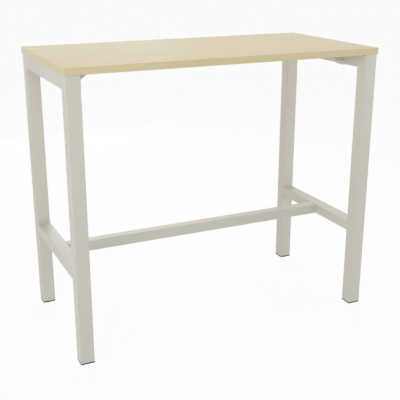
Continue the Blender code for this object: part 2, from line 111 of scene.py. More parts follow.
# Welds
WELD_SIZE = 3 * MM
BRACKET_WELD = 2.5 * MM
WELD_ROOT = 0.15 * MM
WELD_HOLLOW = 1.35
WELD_END_POWER = 14
WELD_END_LEAST = 0.02
WELD_RIPPLE = 1.6 * MM
RIPPLE_ROWS = 6
LEAST_ROWS = 12
RIPPLE_HEIGHT = 0.07
RIPPLE_LAG = 0.35
GROUND_WELD_SINK = 0.02

# Foot rail plugs
PLUG_LIP = 1.5 * MM
PLUG_WALL = 1.2 * MM
PLUG_GAP = 0.05 * MM
PLUG_LEAD = 0.5 * MM
PLUG_LEAD_HEIGHT = 0.6 * MM
PLUG_BREAK = 0.1 * MM
PLUG_EDGE = 0.7 * MM
PLUG_EDGE_DEGREES = 65.0
CROWN_FOOT = 1.33 * MM
CROWN_INSET = 0.6 * MM
CROWN_START = 0.93
CROWN_MIDDLE = 0.02
CROWN_RINGS = 9

# Levelling glides
PAD_HOLLOW = 4 * MM
PAD_HOLLOW_EDGE = 4.4 * MM
PAD_HOLLOW_HEIGHT = 0.5 * MM
PAD_GROOVES = (8 * MM, 11 * MM, 14 * MM)
GROOVE_MOUTH = 0.5 * MM
GROOVE_FLOOR = 0.3 * MM
GROOVE_HEIGHT = 0.4 * MM
PAD_EDGE = 0.7 * MM
PAD_SHOULDER = 1.9 * MM
PAD_SHOULDER_DEGREES = 70.0
COLLAR_WALL = 6.3 * MM
COLLAR_FILLET = 0.6 * MM
COLLAR_FILLET_DROP = 0.75 * MM
COLLAR_FILLET_DEGREES = (255.0, 185.0)
COLLAR_EDGE = 0.4 * MM
COLLAR_EDGE_STEPS = 4
BORE_PLAY = 0.15 * MM
BORE_FLOOR = 0.2 * MM
THREAD_PITCH = 1.25 * MM
THREAD_DEPTH = 0.65 * MM
THREAD_ROWS = 8
THREAD_STEPS = 36
THREAD_STEEPNESS = 1.3
THREAD_ROOT = 0.1
STEM_BEVEL = 0.2 * MM


def span(node_name):
    """Lowest and highest corner of a CAD node as arrays."""
    low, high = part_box(node_name)
    return np.array(low), np.array(high)


def near_side(node_name, axis):
    """Distance along an axis from the table's middle to the near side of a CAD node."""
    return np.min(np.abs(span(node_name)), axis=0)[axis]


def far_side(node_name, axis):
    """Distance along an axis from the table's middle to the far side of a CAD node."""
    return np.max(np.abs(span(node_name)), axis=0)[axis]


def build_mesh(name, patches, sharp_degrees):
    """Mesh from closed patches, each a grid of rows x columns x 3 and whether its last row joins its first.

    Columns always go round. Rows that don't join up are closed by a flat face at each end.
    """
    points, loops, sizes = [], [], []
    first = 0
    for grid, joined in patches:
        rows, columns = grid.shape[:2]
        row = np.arange(rows if joined else rows - 1)[:, None]
        column = np.arange(columns)[None, :]
        ahead = (row + 1) % rows
        beside = (column + 1) % columns
        corners = np.broadcast_arrays(
            row * columns + column,
            row * columns + beside,
            ahead * columns + beside,
            ahead * columns + column,
        )
        quads = first + np.stack(corners, axis=-1).reshape(-1, 4)
        loops.append(quads.ravel())
        sizes.append(np.full(len(quads), 4))
        if not joined:
            ring = first + np.arange(columns)
            loops += [ring[::-1], ring + (rows - 1) * columns]
            sizes.append(np.array([columns, columns]))
        points.append(grid.reshape(-1, 3))
        first += rows * columns
    sizes = np.concatenate(sizes)
    loops = np.concatenate(loops)
    mesh = bpy.data.meshes.new(name)
    mesh.vertices.add(first)
    mesh.vertices.foreach_set("co", np.concatenate(points).astype(np.float32).ravel())
    mesh.loops.add(len(loops))
    mesh.loops.foreach_set("vertex_index", loops.astype(np.int32))
    mesh.polygons.add(len(sizes))
    mesh.polygons.foreach_set("loop_start", (np.cumsum(sizes) - sizes).astype(np.int32))
    mesh.update(calc_edges=True)
    mesh.shade_smooth()
    mesh.set_sharp_from_angle(angle=math.radians(sharp_degrees))
    return mesh


def add_piece(name, patches, material, body="frame", stands_for=(), sharp_degrees=PLAIN_SHARP):
    """Put a finished surface into the scene on its body, in place of the CAD nodes that it stands for."""
    mesh = build_mesh(name, patches, sharp_degrees)
    mesh.materials.append(material)
    piece = bpy.data.objects.new(name, mesh)
    bpy.context.scene.collection.objects.link(piece)
    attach(piece, body)
    if stands_for:
        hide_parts(*stands_for)


def circle(steps):
    """Angles that go once round, as a row."""
    return np.linspace(0.0, FULL_TURN, steps, endpoint=False)[None, :]


def polar_grid(radius, angle, height):
    """Points (r cos a, r sin a, h) of a radius, an angle and a height."""
    return np.stack(np.broadcast_arrays(radius * np.cos(angle), radius * np.sin(angle), height), axis=-1)


def arc_angles(start, end, steps=ARC_STEPS):
    """Angles of an arc in radians from its ends in degrees, both ends included."""
    return np.radians(np.linspace(start, end, steps + 1))


def arc_points(centre, radius, start, end, steps=SMALL_ARC_STEPS):
    """Points of an arc in a profile, its ends given in degrees."""
    angle = arc_angles(start, end, steps)
    return list(zip(centre[0] + radius * np.cos(angle), centre[1] + radius * np.sin(angle)))


def rounded_outline(width, height, corner):
    """Rounded rectangle about the origin, anticlockwise.

    Each corner is an arc about (w/2 - r, h/2 - r), turned to its quarter. One more point on the flat at
    each side of the arc keeps the flats flat under smooth shading.
    """
    angle = arc_angles(0.0, 90.0)
    x = np.concatenate(([corner], corner * np.cos(angle), [-FLAT_LEAD]))
    y = np.concatenate(([-FLAT_LEAD], corner * np.sin(angle), [corner]))
    turn = np.arange(4)[:, None] * QUARTER_TURN
    centre_x = np.sign(np.cos(turn + QUARTER_TURN / 2)) * (width / 2 - corner)
    centre_y = np.sign(np.sin(turn + QUARTER_TURN / 2)) * (height / 2 - corner)
    turned_x = centre_x + np.cos(turn) * x - np.sin(turn) * y
    turned_y = centre_y + np.sin(turn) * x + np.cos(turn) * y
    return turned_x.ravel(), turned_y.ravel()


def tube(centre, axis, width, height, start, end):
    """Rectangular tube along an axis.

    The outer outline goes from the start cut to the end cut, and the outline one wall further in comes
    back. A cut is a plane: its place on the axis, and how far it leans with the section's two directions.
    """
    outer = rounded_outline(width, height, TUBE_CORNER)
    inner = rounded_outline(width - 2 * TUBE_WALL, height - 2 * TUBE_WALL, TUBE_CORNER - TUBE_WALL)
    rings = []
    for (a, b), (place, lean_a, lean_b) in ((outer, start), (outer, end), (inner, end), (inner, start)):
        rings.append(np.stack((a, b, place + lean_a * a + lean_b * b), axis=-1))
    return np.stack(rings)[..., ALONG[axis]] + np.array(centre), True


def turned(profile, centre, axis="Z", sign=1):
    """Surface of revolution: each (radius, height) of the profile goes once round the axis.

    A sign of -1 points the heights the other way and runs the circle backwards, so faces stay outward.
    """
    radius, height = np.array(profile).T[:, :, None]
    grid = polar_grid(radius, sign * circle(CIRCLE_STEPS), sign * height)
    return grid[..., ALONG[axis]] + np.array(centre), False


def edge_strip(half_length, outer, inner, low, high, round_ends, turn):
    """Edge band along X with its outer face towards -Y, then turned about the vertical.

    The section is a rectangle with two quarter-round outer corners of radius r. At r(1 - cos t) from a
    rounded end it is drawn in by r(1 - sin t), so the end corners round off too.
    """
    r = BAND_ARRIS
    thickness = outer - inner
    if round_ends:
        t = arc_angles(BAND_END_DEGREES, 90.0, SMALL_ARC_STEPS)
        inset = r * (1.0 - np.cos(t))
        x = np.concatenate((inset - half_length, half_length - inset[::-1]))
        scale = np.concatenate((np.sin(t), np.sin(t)[::-1]))[:, None]
    else:
        x = np.array([-half_length, half_length])
        scale = np.ones((2, 1))
    draw = r * (1.0 - scale)
    swing = arc_angles(90.0, 180.0, SMALL_ARC_STEPS)[None, :]
    flat = np.zeros_like(scale)
    upper_a = r + r * scale * np.cos(swing)
    upper_b = (high - r) + r * scale * np.sin(swing)
    lower_a = upper_a[:, ::-1]
    lower_b = (low + r) - r * scale * np.sin(swing[:, ::-1])
    face_top = flat + high - r - FLAT_LEAD
    face_bottom = flat + low + r + FLAT_LEAD
    a = np.concatenate((flat + thickness, flat + thickness, upper_a, draw, draw, lower_a), axis=1)
    b = np.concatenate((low + draw, high - draw, upper_b, face_top, face_bottom, lower_b), axis=1)
    across = a - outer
    along = x[:, None] + 0.0 * a
    cos, sin = round(math.cos(turn)), round(math.sin(turn))
    grid = np.stack((along * cos - across * sin, along * sin + across * cos, b), axis=-1)
    return grid, False


def bracket_in_place(grid, seat, side, hand):
    """Turn a bracket's surface from the left rail to its own corner; hand -1 mirrors it."""
    if hand < 0:
        grid = grid[:, ::-1]
    return grid * np.array((-side, -side * hand, 1.0)) + np.array(seat), False


def bracket_leaf(seat, side, hand, drop, flange):
    """Bracket's leaf flat on the rail: an outline in Y and Z carried one plate's thickness along X.

    The outline is a rectangle whose lower far corner is a quarter circle. It draws in by a small break
    towards the front and back faces. Its upper edge lies inside the flange and stops short at the bend.
    """
    inset = np.array([PLATE_BREAK, 0.0, 0.0, PLATE_BREAK])[:, None]
    x = np.array([0.0, PLATE_BREAK, PLATE - PLATE_BREAK, PLATE])[:, None]
    swing = arc_angles(-90.0, 0.0)[None, :]
    radius = BRACKET_CORNER - inset
    bend = PLATE + PLATE_BEND + 0.0 * inset
    top = 0.0 * inset - PLATE / 2
    low_corner_y = flange - BRACKET_CORNER + radius * np.cos(swing)
    low_corner_z = BRACKET_CORNER - drop + radius * np.sin(swing)
    y = np.concatenate((inset, low_corner_y, flange - inset, bend, inset), axis=1)
    z = np.concatenate((inset - drop, low_corner_z, top, top, -bend), axis=1)
    return bracket_in_place(np.stack((x + 0.0 * y, y, z), axis=-1), seat, side, hand)


def folded_bracket(seat, side, hand, reach, flange):
    """Bracket's web and flange: an L section carried along X from the rail towards the middle.

    The web keeps its depth up to the foot, then falls off in a straight line to the tip. The flange's
    width is full until the last corner radius, then follows a quarter circle.
    """
    corner, foot = BRACKET_CORNER, BRACKET_FOOT
    tip = corner * np.sin(arc_angles(0.0, BRACKET_TIP_DEGREES))
    x = np.concatenate(([0.0, foot - FLAT_LEAD, foot, foot + FLAT_LEAD], reach - corner + tip))
    bend = PLATE + PLATE_BEND
    slope = (BRACKET_WEB - BRACKET_TIP) / (reach - foot)
    depth = (BRACKET_WEB - slope * np.clip(x - foot, 0.0, None))[:, None]
    past = np.clip(x - (reach - corner), 0.0, None)
    width = (flange - corner + np.sqrt(corner**2 - past**2))[:, None]
    c = PLATE_BREAK
    same = np.ones_like(depth)
    swing = arc_angles(180.0, 90.0)[None, :]
    inner_y = (bend + PLATE_BEND * np.cos(swing)) * same
    inner_z = (-bend + PLATE_BEND * np.sin(swing)) * same
    outer_y = ((bend + bend * np.cos(swing)) * same)[:, ::-1]
    outer_z = ((-bend + bend * np.sin(swing)) * same)[:, ::-1]
    web_y = (0 * same, c * same, (PLATE - c) * same, PLATE * same)
    web_z = (c - depth, -depth, -depth, c - depth)
    flange_y = (width - c, width, width, width - c)
    flange_z = (-PLATE * same, (c - PLATE) * same, -c * same, 0 * same)
    y = np.concatenate((*web_y, inner_y, *flange_y, outer_y), axis=1)
    z = np.concatenate((*web_z, inner_z, *flange_z, outer_z), axis=1)
    grid = np.stack((x[:, None] + 0.0 * y, y + BRACKET_SEAM, z), axis=-1)
    return bracket_in_place(grid, seat, side, hand)


def weld_bead(start, end, face_a, face_b, size=WELD_SIZE):
    """Fillet weld in the corner between two faces, along a straight path.

    The section runs from one face to the other as (cos^q, sin^q) of a quarter turn. Its size ripples along
    the path as a cosine whose crests lag in the middle of the bead, and falls off at the two ends.
    """
    start, end = np.array(start), np.array(end)
    a, b = np.array(face_a, float), np.array(face_b, float)
    if np.dot(np.cross(a, b), end - start) < 0:
        a, b = b, a
    length = np.linalg.norm(end - start)
    rows = max(int(length / (WELD_RIPPLE / RIPPLE_ROWS)), LEAST_ROWS)
    s = np.linspace(0.0, 1.0, rows)[:, None]
    t = np.linspace(0.0, 1.0, ARC_STEPS + 1)[None, :]
    lag = RIPPLE_LAG * np.sin(math.pi * t)
    ripple = 1.0 + RIPPLE_HEIGHT * np.cos(FULL_TURN * (s * length / WELD_RIPPLE + lag))
    taper = np.sqrt(np.clip(1.0 - np.abs(2 * s - 1.0) ** WELD_END_POWER, WELD_END_LEAST, None))
    reach = size * ripple * taper
    on_a = reach * np.cos(QUARTER_TURN * t) ** WELD_HOLLOW
    on_b = reach * np.sin(QUARTER_TURN * t) ** WELD_HOLLOW
    root = np.full_like(s, -WELD_ROOT)
    on_a = np.concatenate((root, on_a), axis=1)[..., None]
    on_b = np.concatenate((root, on_b), axis=1)[..., None]
    path = start + s[..., None] * (end - start)
    return path + on_a * a + on_b * b, False


def ground_weld(corner_x, corner_y, out_x, out_y, low, high):
    """Weld ground flush where a rail meets the rounded corner of a leg.

    The section fills the space between the corner's arc and the square corner outside it, and sinks a
    little into the arc.
    """
    angle = arc_angles(0.0, 90.0)[1:-1]
    x = np.concatenate(([1.0, 1.0, 0.0], np.sin(angle) - GROUND_WELD_SINK)) - 1.0
    y = np.concatenate(([0.0, 1.0, 1.0], np.cos(angle) - GROUND_WELD_SINK)) - 1.0
    if out_x * out_y < 0:
        x, y = x[::-1], y[::-1]
    section = np.stack((corner_x + out_x * TUBE_CORNER * x, corner_y + out_y * TUBE_CORNER * y), axis=-1)
    rings = [np.concatenate((section, np.full((len(section), 1), z)), axis=1) for z in (low, high)]
    return np.stack(rings), False


def pan_screw(centre, length, head):
    """Pan head screw pointing up, its bearing face at the centre.

    The underside is a polar height field: the flat of the head less a cross-shaped recess with soft walls
    that gets shallower towards its arms' ends. Then come the rounded rim, the bearing face, the shank and
    a pointed end.
    """
    angle = circle(CIRCLE_STEPS)
    flat = np.linspace(RECESS_MIDDLE, head - SCREW_RIM, SCREW_FLAT_RINGS)
    swing = arc_angles(0.0, 90.0, SCREW_RIM_STEPS)[1:]
    radius = np.concatenate((flat, head - SCREW_RIM + SCREW_RIM * np.sin(swing)))[:, None]
    level = np.concatenate((0.0 * flat, SCREW_RIM * (1 - np.cos(swing))))[:, None] - SCREW_HEAD_HEIGHT
    x = np.abs(radius * np.cos(angle))
    y = np.abs(radius * np.sin(angle))
    out = np.maximum(x, y)
    arm = np.clip((RECESS_ARM - out) / RECESS_WALL, 0.0, 1.0)
    slot = np.clip((RECESS_SLOT - np.minimum(x, y)) / RECESS_WALL, 0.0, 1.0)
    fall = np.clip(1.0 + RECESS_LEVEL - out / RECESS_FALL, 0.0, 1.0)
    recess = RECESS_DEPTH * arm * slot * fall
    straight = length - SCREW_POINT
    upper = np.array([(head, 0.0), (SCREW_SHANK, 0.0), (SCREW_SHANK, straight), (SCREW_TIP, length)])
    radius = np.concatenate((radius, upper[:, :1]))
    level = np.concatenate((level + recess, upper[:, 1:] + 0.0 * angle))
    return polar_grid(radius, angle, level) + np.array(centre), False


def plug_profile(rim, rise, depth):
    """Profile of a plug from its hollow shank round its lip to the middle of its crown.

    The lip's edge is an arc, and the crown falls off from its middle as the square of the radius.
    """
    shank = rim - PLUG_LIP
    hollow = shank - PLUG_WALL
    profile = [(hollow, PLUG_GAP), (hollow, -depth), (shank - PLUG_LEAD, -depth)]
    profile += [(shank, PLUG_LEAD_HEIGHT - depth), (shank, PLUG_GAP)]
    profile += [(rim - PLUG_BREAK, PLUG_GAP), (rim, PLUG_GAP + PLUG_BREAK)]
    profile += arc_points((rim - PLUG_EDGE, PLUG_EDGE), PLUG_EDGE, 0.0, PLUG_EDGE_DEGREES)
    crown = np.linspace(CROWN_START, CROWN_MIDDLE, CROWN_RINGS) * (rim - CROWN_INSET)
    profile += list(zip(crown, rise - (rise - CROWN_FOOT) * (crown / rim) ** 2))
    return profile


def pad_profile(rim, top, stem_radius, stem_foot):
    """Profile of a glide's pad from the middle of its underside round to the bore for its stem.

    The underside has a hollow and three grooves. Arcs round the rim below and above, and a hollow arc
    leads up to a collar whose edge is a quarter circle.
    """
    collar = stem_radius + COLLAR_WALL
    bore = stem_radius + BORE_PLAY
    profile = [(PAD_HOLLOW, PAD_HOLLOW_HEIGHT), (PAD_HOLLOW_EDGE, 0.0)]
    for groove in PAD_GROOVES:
        profile += [(groove - GROOVE_MOUTH, 0.0), (groove - GROOVE_FLOOR, GROOVE_HEIGHT)]
        profile += [(groove + GROOVE_FLOOR, GROOVE_HEIGHT), (groove + GROOVE_MOUTH, 0.0)]
    profile += arc_points((rim - PAD_EDGE, PAD_EDGE), PAD_EDGE, -90.0, 0.0)
    profile += arc_points((rim - PAD_EDGE, PAD_SHOULDER), PAD_EDGE, 0.0, PAD_SHOULDER_DEGREES)
    fillet = (collar + COLLAR_FILLET, top - COLLAR_FILLET_DROP)
    profile += arc_points(fillet, COLLAR_FILLET, *COLLAR_FILLET_DEGREES)
    edge = (collar - COLLAR_EDGE, top - COLLAR_EDGE)
    profile += arc_points(edge, COLLAR_EDGE, 0.0, 90.0, COLLAR_EDGE_STEPS)
    profile += [(bore, top), (bore, stem_foot - BORE_FLOOR)]
    return profile


def threaded_stem(centre, low, high, radius):
    """Stem with a screw thread: the radius is a clipped triangle wave of z / pitch - angle / full turn.

    The thread runs out into a bevel at each end.
    """
    z = np.linspace(low, high, int((high - low) / (THREAD_PITCH / THREAD_ROWS)))[:, None]
    angle = circle(THREAD_STEPS)
    wave = np.abs(2 * np.mod(z / THREAD_PITCH - angle / FULL_TURN, 1.0) - 1.0)
    flank = np.clip(THREAD_STEEPNESS * wave - THREAD_ROOT, 0.0, 1.0)
    crest = radius - THREAD_DEPTH * (1.0 - flank)
    bevel = radius - THREAD_DEPTH - STEM_BEVEL + np.minimum(z - low, high - z)
    return polar_grid(np.minimum(crest, bevel), angle, z) + np.array(centre), False


# Materials

# A noise's middle, and the values that it seldom passes
NOISE_MIDDLE = 0.5
NOISE_LOW = 0.3
NOISE_HIGH = 0.7

# Mottle: how much finer its small clouds are, and what each size of cloud adds
FINE_CLOUDS = 11.0
SLOW_SHARE = 0.65
FINE_SHARE = 0.35

# Maple figure: repeats per metre along and across the grain, and what each adds to the tone
SWAY = (1.3, 4.0, 4.0)
BANDS = (0.9, 22.0, 22.0)
STREAKS = (3.5, 160.0, 160.0)
FIBRES = (22.0, 1100.0, 1100.0)
DASHES = (55.0, 900.0, 900.0)
FLECKED_AREAS = (7.0, 40.0, 40.0)
BAND_SHARE = 0.42
STREAK_SHARE = 0.33
FIBRE_SHARE = 0.25
FLECK_SHARE = 0.35

# Noise values between which the flecks come in: the dashes themselves, and the areas that have them
DASH_RANGE = (0.66, 0.76)
FLECKED_RANGE = (0.45, 0.65)

# Sprayed and moulded skins: how far the grain's height swings, and how far its painted shade and highlight
# go
GRAIN_SWING = 0.25
GRAIN_PAINTED_SHADE = 0.025


def shown(red, green, blue):
    """Linear colour from display values of 0 to 255, by the sRGB curve."""
    value = np.array([red, green, blue]) / 255.0
    linear = np.where(value <= 0.04045, value / 12.92, ((value + 0.055) / 1.055) ** 2.4)
    return (*(float(part) for part in linear), 1.0)


def node(tree, kind, settings=None, **inputs):
    """Add a shader node; an input given as a socket is linked, anything else is set on it.

    An input goes by its name, or by an underscore and its number.
    """
    made = tree.nodes.new(kind)
    for name, value in (settings or {}).items():
        setattr(made, name, value)
    for name, value in inputs.items():
        socket = made.inputs[int(name[1:])] if name[0] == "_" else made.inputs[name.replace("_", " ")]
        if isinstance(value, bpy.types.NodeSocket):
            tree.links.new(value, socket)
        else:
            socket.default_value = value
    return made


def arithmetic(tree, operation, first, second):
    """Math node's result."""
    return node(tree, "ShaderNodeMath", {"operation": operation}, _0=first, _1=second).outputs[0]


def weighted_sum(tree, *terms):
    """Sum of values, each times its share."""
    total = None
    for value, share in terms:
        part = arithmetic(tree, "MULTIPLY", value, share)
        total = part if total is None else arithmetic(tree, "ADD", total, part)
    return total


def remap(tree, value, low, high, to_low, to_high):
    """Map Range node's result, clamped."""
    ends = {"From_Min": low, "From_Max": high, "To_Min": to_low, "To_Max": to_high}
    return node(tree, "ShaderNodeMapRange", Value=value, **ends).outputs[0]


def blend_colours(tree, factor, first, second):
    """Mix node's colour between two colours."""
    return node(tree, "ShaderNodeMix", {"data_type": "RGBA"}, _0=factor, _6=first, _7=second).outputs[2]


def brighten(tree, colour, value):
    """Colour with its lightness times a value."""
    return node(tree, "ShaderNodeHueSaturation", Color=colour, Value=value).outputs[0]


def stretch(tree, vector, scale, turn=0.0):
    """Coordinates turned about the vertical and stretched."""
    mapping = node(tree, "ShaderNodeMapping", Vector=vector, Scale=scale, Rotation=(0.0, 0.0, turn))
    return mapping.outputs[0]


def noise(tree, vector, scale, detail, roughness=0.5):
    """Noise value between 0 and 1."""
    settings = {"Scale": scale, "Detail": detail, "Roughness": roughness}
    return node(tree, "ShaderNodeTexNoise", Vector=vector, **settings).outputs[0]


def grain_noise(tree, vector, repeats, detail, roughness=0.5):
    """Noise drawn out along the grain."""
    return noise(tree, stretch(tree, vector, repeats), 1.0, detail, roughness)


def new_group(name, inputs, outputs):
    """Empty node group with named sockets; returns the tree, its input node and its output node."""
    tree = bpy.data.node_groups.new(name, "ShaderNodeTree")
    for label, kind in inputs:
        tree.interface.new_socket(label, in_out="INPUT", socket_type="NodeSocket" + kind)
    for label, kind in outputs:
        tree.interface.new_socket(label, in_out="OUTPUT", socket_type="NodeSocket" + kind)
    return tree, tree.nodes.new("NodeGroupInput"), tree.nodes.new("NodeGroupOutput")


def make_mottle_group():
    """Slow drift of a colour's lightness, with a finer cloud over it."""
    tree, given, result = new_group(
        "slow_mottle",
        (("Vector", "Vector"), ("Color", "Color"), ("Scale", "Float"), ("Spread", "Float")),
        (("Color", "Color"), ("Cloud", "Float")),
    )
    slow = noise(tree, given.outputs["Vector"], given.outputs["Scale"], detail=2.0)
    fine_scale = arithmetic(tree, "MULTIPLY", given.outputs["Scale"], FINE_CLOUDS)
    fine = noise(tree, given.outputs["Vector"], fine_scale, detail=4.0)
    cloud = weighted_sum(tree, (slow, SLOW_SHARE), (fine, FINE_SHARE))
    swing = remap(tree, cloud, NOISE_LOW, NOISE_HIGH, -1.0, 1.0)
    drift = arithmetic(tree, "MULTIPLY", swing, given.outputs["Spread"])
    lit = brighten(tree, given.outputs["Color"], arithmetic(tree, "ADD", drift, 1.0))
    tree.links.new(lit, result.inputs["Color"])
    tree.links.new(cloud, result.inputs["Cloud"])
    return tree


def make_grain_group():
    """Height of a sprayed or moulded skin: orange peel with a finer grit on it."""
    tree, given, result = new_group(
        "skin_grain",
        (("Vector", "Vector"), ("Peel", "Float"), ("Grit", "Float"), ("Share", "Float")),
        (("Height", "Float"),),
    )
    peel = noise(tree, given.outputs["Vector"], given.outputs["Peel"], detail=1.0)
    grit = noise(tree, given.outputs["Vector"], given.outputs["Grit"], detail=2.0, roughness=0.6)
    rough = arithmetic(tree, "MULTIPLY", grit, given.outputs["Share"])
    tree.links.new(arithmetic(tree, "ADD", peel, rough), result.inputs["Height"])
    return tree


def make_maple_group():
    """Maple figure for coordinates whose X runs with the grain.

    Wide tone bands bent by a slow noise, fine fibres along the grain, and sparse short flecks.
    """
    tree, given, result = new_group(
        "maple_figure",
        (("Vector", "Vector"), ("Bend", "Float")),
        (("Tone", "Float"), ("Fleck", "Float"), ("Fibre", "Float")),
    )
    place = given.outputs["Vector"]
    sway = arithmetic(tree, "SUBTRACT", grain_noise(tree, place, SWAY, detail=2.0), NOISE_MIDDLE)
    shift = arithmetic(tree, "MULTIPLY", sway, given.outputs["Bend"])
    offset = node(tree, "ShaderNodeCombineXYZ", Y=shift, Z=shift).outputs[0]
    bent = node(tree, "ShaderNodeVectorMath", {"operation": "ADD"}, _0=place, _1=offset).outputs[0]
    bands = grain_noise(tree, bent, BANDS, detail=3.0, roughness=0.55)
    streaks = grain_noise(tree, bent, STREAKS, detail=4.0, roughness=0.6)
    fibre = grain_noise(tree, bent, FIBRES, detail=2.0, roughness=0.6)
    tone = weighted_sum(tree, (bands, BAND_SHARE), (streaks, STREAK_SHARE), (fibre, FIBRE_SHARE))
    tree.links.new(remap(tree, tone, NOISE_LOW, NOISE_HIGH, 0.0, 1.0), result.inputs["Tone"])
    dashes = remap(tree, grain_noise(tree, bent, DASHES, detail=1.0), *DASH_RANGE, 0.0, 1.0)
    areas = remap(tree, grain_noise(tree, bent, FLECKED_AREAS, detail=1.0), *FLECKED_RANGE, 0.0, 1.0)
    tree.links.new(arithmetic(tree, "MULTIPLY", dashes, areas), result.inputs["Fleck"])
    tree.links.new(fibre, result.inputs["Fibre"])
    return tree


MOTTLE = make_mottle_group()
GRAIN = make_grain_group()
MAPLE = make_maple_group()


def placed_group(tree, group, **inputs):
    """Put a shared group into a material with its own values."""
    return node(tree, "ShaderNodeGroup", {"node_tree": group}, **inputs)


def new_material(name):
    """Material with its node tree, its shader and the piece's own coordinates."""
    material = bpy.data.materials.new(name)
    material.use_nodes = True
    tree = material.node_tree
    shader = tree.nodes["Principled BSDF"]
    place = tree.nodes.new("ShaderNodeTexCoord").outputs["Object"]
    return material, tree, shader, place


def set_roughness(tree, shader, cloud, low, high):
    """Let the roughness drift with a mottle's cloud."""
    tree.links.new(remap(tree, cloud, NOISE_LOW, NOISE_HIGH, low, high), shader.inputs["Roughness"])


def set_bump(tree, shader, height, strength, distance):
    """Feed a height into the shader's normal."""
    bump = node(tree, "ShaderNodeBump", Height=height, Strength=strength, Distance=distance)
    tree.links.new(bump.outputs[0], shader.inputs["Normal"])


def maple_material(name, tones, turn, bend, roughness, gloss):
    """Printed maple: figure between two tones, short flecks, and a faint pressed fibre."""
    light, dark, fleck = tones
    material, tree, shader, place = new_material(name)
    shader.inputs["Specular IOR Level"].default_value = gloss
    along = stretch(tree, place, (1.0, 1.0, 1.0), turn)
    figure = placed_group(tree, MAPLE, Vector=along, Bend=bend)
    toned = blend_colours(tree, figure.outputs["Tone"], dark, light)
    share = arithmetic(tree, "MULTIPLY", figure.outputs["Fleck"], FLECK_SHARE)
    flecked = blend_colours(tree, share, toned, fleck)
    mottled = placed_group(tree, MOTTLE, Vector=place, Color=flecked, Scale=3.0, Spread=0.012)
    tree.links.new(mottled.outputs["Color"], shader.inputs["Base Color"])
    set_roughness(tree, shader, mottled.outputs["Cloud"], low=roughness - 0.04, high=roughness + 0.05)
    set_bump(tree, shader, figure.outputs["Fibre"], strength=0.12, distance=0.05 * MM)
    return material


def coated_material(name, colour, spread, roughness, gloss, peel, grit, share, strength, distance):
    """Sprayed or moulded skin: mottled colour, painted shade in the grain's hollows and painted highlight
    on its crests, drifting roughness.
    """
    material, tree, shader, place = new_material(name)
    shader.inputs["Specular IOR Level"].default_value = gloss
    mottled = placed_group(tree, MOTTLE, Vector=place, Color=colour, Scale=5.0, Spread=spread)
    skin = placed_group(tree, GRAIN, Vector=place, Peel=peel, Grit=grit, Share=share)
    height = skin.outputs["Height"]
    middle = NOISE_MIDDLE + NOISE_MIDDLE * share
    low, high = middle - GRAIN_SWING, middle + GRAIN_SWING
    # Painted shade and highlight: the colour darkens in the grain's hollows and lightens on its crests,
    # following the grain's height.
    shade = remap(tree, height, low, high, 1.0 - GRAIN_PAINTED_SHADE, 1.0 + GRAIN_PAINTED_SHADE)
    tree.links.new(brighten(tree, mottled.outputs["Color"], shade), shader.inputs["Base Color"])
    set_roughness(tree, shader, mottled.outputs["Cloud"], low=roughness - 0.05, high=roughness + 0.06)
    set_bump(tree, shader, height, strength, distance)
    return material


def zinc_material(name):
    """Bright zinc plate: metal with a cloudy tone, uneven gloss and a fine grain."""
    material, tree, shader, place = new_material(name)
    shader.inputs["Metallic"].default_value = 1.0
    mottled = placed_group(tree, MOTTLE, Vector=place, Color=ZINC_GREY, Scale=90.0, Spread=0.09)
    tree.links.new(mottled.outputs["Color"], shader.inputs["Base Color"])
    set_roughness(tree, shader, mottled.outputs["Cloud"], low=0.27, high=0.45)
    skin = placed_group(tree, GRAIN, Vector=place, Peel=1800.0, Grit=6000.0, Share=0.5)
    set_bump(tree, shader, skin.outputs["Height"], strength=0.15, distance=0.03 * MM)
    return material


# Light tone, dark tone and flecks of the printed maple
BOARD_TONES = (shown(228, 214, 184), shown(218, 203, 171), shown(192, 172, 132))
EDGE_TONES = (shown(229, 215, 176), shown(214, 199, 155), shown(184, 162, 116))
WARM_GREY = shown(212, 209, 199)
SOFT_BLACK = shown(20, 20, 21)
ZINC_GREY = shown(206, 207, 211)

board_finish = maple_material(
    "maple_melamine", BOARD_TONES, turn=0.0, bend=0.035, roughness=0.5, gloss=0.06
)
long_edge_finish = maple_material(
    "maple_edging_long", EDGE_TONES, turn=0.0, bend=0.01, roughness=0.42, gloss=0.25
)
short_edge_finish = maple_material(
    "maple_edging_short", EDGE_TONES, turn=QUARTER_TURN, bend=0.01, roughness=0.42, gloss=0.25
)
frame_paint = coated_material(
    "warm_grey_powder_coat",
    WARM_GREY,
    spread=0.015,
    roughness=0.47,
    gloss=0.7,
    peel=850.0,
    grit=2600.0,
    share=0.35,
    strength=0.28,
    distance=0.12 * MM,
)
plug_finish = coated_material(
    "warm_grey_plastic",
    WARM_GREY,
    spread=0.015,
    roughness=0.55,
    gloss=0.5,
    peel=1300.0,
    grit=4200.0,
    share=0.6,
    strength=0.14,
    distance=0.06 * MM,
)
black_finish = coated_material(
    "black_moulded_plastic",
    SOFT_BLACK,
    spread=0.10,
    roughness=0.58,
    gloss=0.12,
    peel=1500.0,
    grit=4200.0,
    share=0.8,
    strength=0.22,
    distance=0.08 * MM,
)
zinc_finish = zinc_material("zinc_plate")


# Pieces

def build_top():
    """Edge strips round the board; the long strips cover the ends of the short ones."""
    board_high = span("tabletop_board")[1]
    for side, turn, axis, finish in (
        ("front", 0.0, 1, long_edge_finish),
        ("rear", math.pi, 1, long_edge_finish),
        ("right", QUARTER_TURN, 0, short_edge_finish),
        ("left", -QUARTER_TURN, 0, short_edge_finish),
    ):
        name = side + "_edge_band"
        low, high = span(name)
        half = (high - low)[1 - axis] / 2
        inner = board_high[axis] + BAND_JOINT
        strip = edge_strip(half, far_side(name, axis), inner, low[2], high[2], axis == 1, turn)
        add_piece(side + "_edge_strip", [strip], finish, stands_for=(name,))


def add_tube(name, *shape):
    """Put a tube in place of its CAD node."""
    add_piece(name + "_tube", [tube(*shape)], frame_paint, stands_for=(name,))


